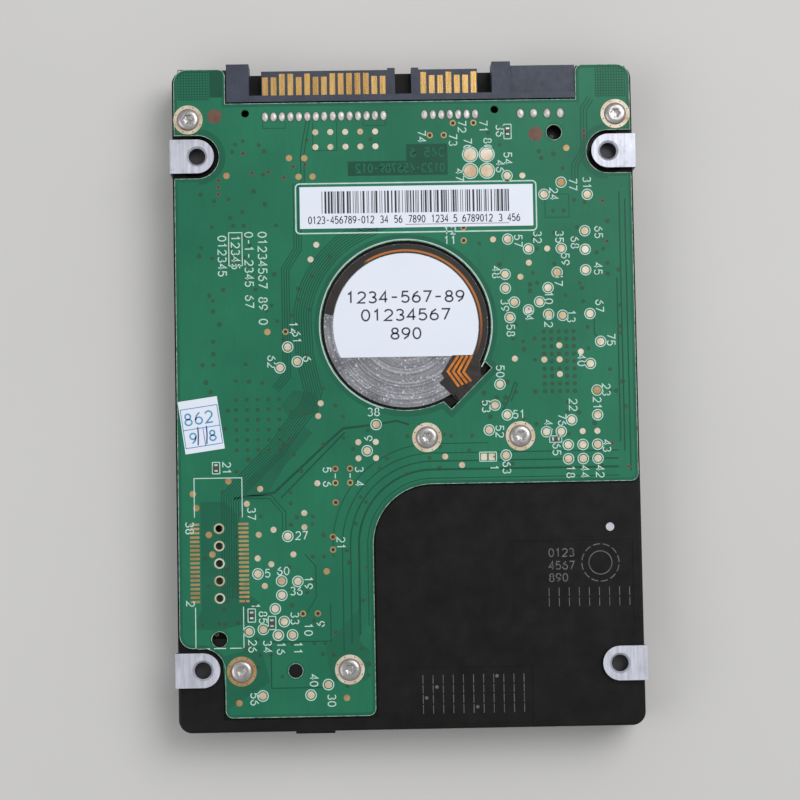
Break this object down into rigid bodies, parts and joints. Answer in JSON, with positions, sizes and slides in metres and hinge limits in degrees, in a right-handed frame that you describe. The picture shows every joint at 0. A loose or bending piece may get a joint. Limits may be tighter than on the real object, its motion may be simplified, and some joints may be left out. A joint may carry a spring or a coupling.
{
  "type": "hard disk drive",
  "caption": "Slim hard disk drive on its cover: circuit board, plug with power and signal tongues, black cast base, turning discs, swinging head arm and latch.",
  "frame": {"origin": "middle of the cover's outer face", "axes": "+Z out of the circuit board side, +Y out of the connector end, +X to the right seen from the board side with the connector up"},
  "size_m": [0.0698, 0.1002, 0.0095],
  "materials": {
    "black_casting": "satin e-coat",
    "cover_steel": "satin",
    "screw_steel": "plain",
    "black_rubber": "matt",
    "white_label": "satin film",
    "green_board": "solder mask",
    "black_resin": "moulded",
    "slate_plastic": "moulded",
    "gold_contact": "plated",
    "turned_aluminium": "turned",
    "copper_winding": "enamelled",
    "silicon_steel": "laminated",
    "bearing_steel": "ground",
    "magnet_nickel": "nickel plated",
    "disc_mirror": "polished",
    "amber_film": "polyimide",
    "white_plastic": "moulded",
    "foam_grey": "foam",
    "filter_white": "felt"
  },
  "bodies": {
    "drive_body": {"actuator_flex": "amber_film", "base_casting": "black_casting", "bearing_cap": "bearing_steel", "bearing_inner_races": "bearing_steel", "bearing_sleeve": "bearing_steel", "board_label": "white_label", "board_pads": "foam_grey", "board_screws": "screw_steel", "breather_filter": "filter_white", "chip_capacitors": "white_plastic", "circuit_board": "green_board", "connector_housing": "slate_plastic", "controller_chip": "black_resin", "cover_gasket": "black_rubber", "cover_labels": "white_label", "cover_screws": "screw_steel", "crash_stops": "black_rubber", "date_sticker": "white_label", "drying_packet": "filter_white", "flex_bracket": "black_resin", "head_connector": "black_resin", "jumper_pins": "gold_contact", "latch_pin": "bearing_steel", "load_ramp": "white_plastic", "memory_chip": "black_resin", "motor_contacts": "gold_contact", "motor_cup": "turned_aluminium", "motor_driver_chip": "black_resin", "motor_flex": "amber_film", "motor_label": "white_label", "pivot_screw": "screw_steel", "pivot_shaft": "bearing_steel", "recirculation_filter": "filter_white", "sata_contacts": "gold_contact", "small_chips": "black_resin", "stator_core": "silicon_steel", "stator_windings": "copper_winding", "top_cover": "cover_steel", "vcm_magnets": "magnet_nickel", "vcm_posts": "bearing_steel", "vcm_yoke_base_side": "magnet_nickel", "vcm_yoke_cover_side": "magnet_nickel"},
    "spindle": {"spindle_shaft": "bearing_steel", "rotor_hub": "turned_aluminium", "rotor_magnet": "magnet_nickel", "disc_cover_side": "disc_mirror", "disc_base_side": "disc_mirror", "disc_spacer": "turned_aluminium", "disc_clamp": "bearing_steel", "clamp_screw": "screw_steel"},
    "head_actuator": {"actuator_comb": "turned_aluminium", "head_suspensions": "bearing_steel", "head_sliders": "black_resin", "pivot_sleeve": "bearing_steel", "bearing_outer_races": "bearing_steel", "bearing_balls": "bearing_steel", "voice_coil": "copper_winding", "coil_frame": "black_resin", "preamp_chip": "black_resin"},
    "latch": {"actuator_latch": "white_plastic"}
  },
  "joints": [
    {"name": "spindle_spin", "type": "hinge", "parent": "drive_body", "child": "spindle", "pos_m": [0, 0.0103, 0.004], "axis": [0, 0, 1], "continuous": true},
    {"name": "actuator_swing", "type": "hinge", "parent": "drive_body", "child": "head_actuator", "pos_m": [0.012, -0.031, 0.003], "axis": [0, 0, -1], "range_deg": [0, 34.31], "deforming": ["actuator_flex"]},
    {"name": "latch_swing", "type": "hinge", "parent": "drive_body", "child": "latch", "pos_m": [0.0296, -0.0216, 0.004], "axis": [0, 0, 1], "range_deg": [0, 12]}
  ]
}
